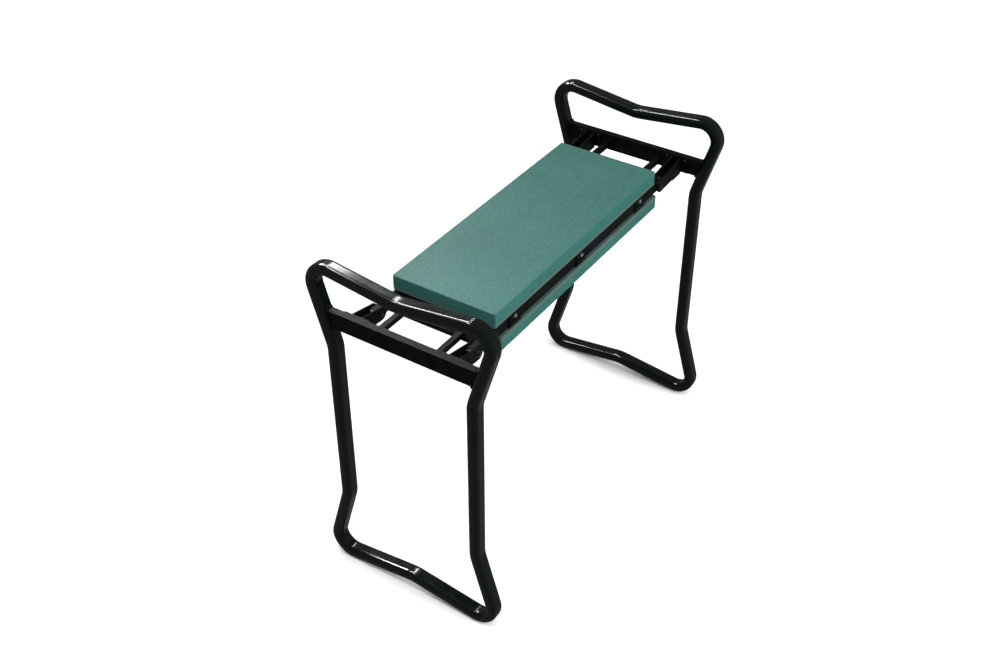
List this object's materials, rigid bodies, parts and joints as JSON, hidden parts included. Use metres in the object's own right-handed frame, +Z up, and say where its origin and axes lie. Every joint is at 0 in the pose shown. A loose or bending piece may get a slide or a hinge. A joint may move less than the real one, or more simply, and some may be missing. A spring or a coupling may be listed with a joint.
{
  "type": "folding garden kneeler seat",
  "caption": "Folding garden kneeler and seat: a foam-padded bench between two looped steel leg frames that fold flat under it; turned over, the legs are grab handles.",
  "frame": {"origin": "on the floor under the middle of the seat, legs open", "axes": "+X along the seat from left to right, +Y across the seat from front to back, +Z up"},
  "size_m": [0.589, 0.2714, 0.4886],
  "materials": {
    "foam": "fine-grained closed-cell foam skin",
    "board": "matte",
    "gloss_black": "gloss powder coat",
    "satin_black": "satin powder coat",
    "bright_rivet": "zinc plated",
    "black_plastic": "moulded"
  },
  "bodies": {
    "seat": {"upper_pad": "foam", "lower_pad": "foam", "upper_board": "board", "lower_board": "board", "upper_cross_plates": "satin_black", "lower_cross_plates": "satin_black", "front_rail": "satin_black", "front_side_rivets": "bright_rivet", "back_rail": "satin_black", "back_side_rivets": "bright_rivet", "left_cross_member": "satin_black", "right_cross_member": "satin_black", "left_front_rail_plug": "black_plastic", "left_back_rail_plug": "black_plastic", "left_front_hinge_washers": "black_plastic", "left_back_hinge_washers": "black_plastic", "right_front_rail_plug": "black_plastic", "right_back_rail_plug": "black_plastic", "right_front_hinge_washers": "black_plastic", "right_back_hinge_washers": "black_plastic"},
    "left_leg": {"left_grip_bow": "gloss_black", "left_leg_bow": "gloss_black", "left_crossbar": "satin_black", "left_bracket_rivets": "satin_black", "left_arm_bolts": "satin_black", "left_front_stop_arm": "satin_black", "left_front_hinge_bracket": "satin_black", "left_front_hinge_pin": "bright_rivet", "left_back_stop_arm": "satin_black", "left_back_hinge_bracket": "satin_black", "left_back_hinge_pin": "bright_rivet"},
    "right_leg": {"right_grip_bow": "gloss_black", "right_leg_bow": "gloss_black", "right_crossbar": "satin_black", "right_bracket_rivets": "satin_black", "right_arm_bolts": "satin_black", "right_front_stop_arm": "satin_black", "right_front_hinge_bracket": "satin_black", "right_front_hinge_pin": "bright_rivet", "right_back_stop_arm": "satin_black", "right_back_hinge_bracket": "satin_black", "right_back_hinge_pin": "bright_rivet"}
  },
  "joints": [
    {"name": "left_leg_fold", "type": "hinge", "parent": "seat", "child": "left_leg", "pos_m": [-0.2405, 0, 0.4035], "axis": [0, -1, 0], "range_deg": [0, 90]},
    {"name": "right_leg_fold", "type": "hinge", "parent": "seat", "child": "right_leg", "pos_m": [0.2165, 0, 0.4035], "axis": [0, 1, 0], "range_deg": [0, 90]}
  ]
}
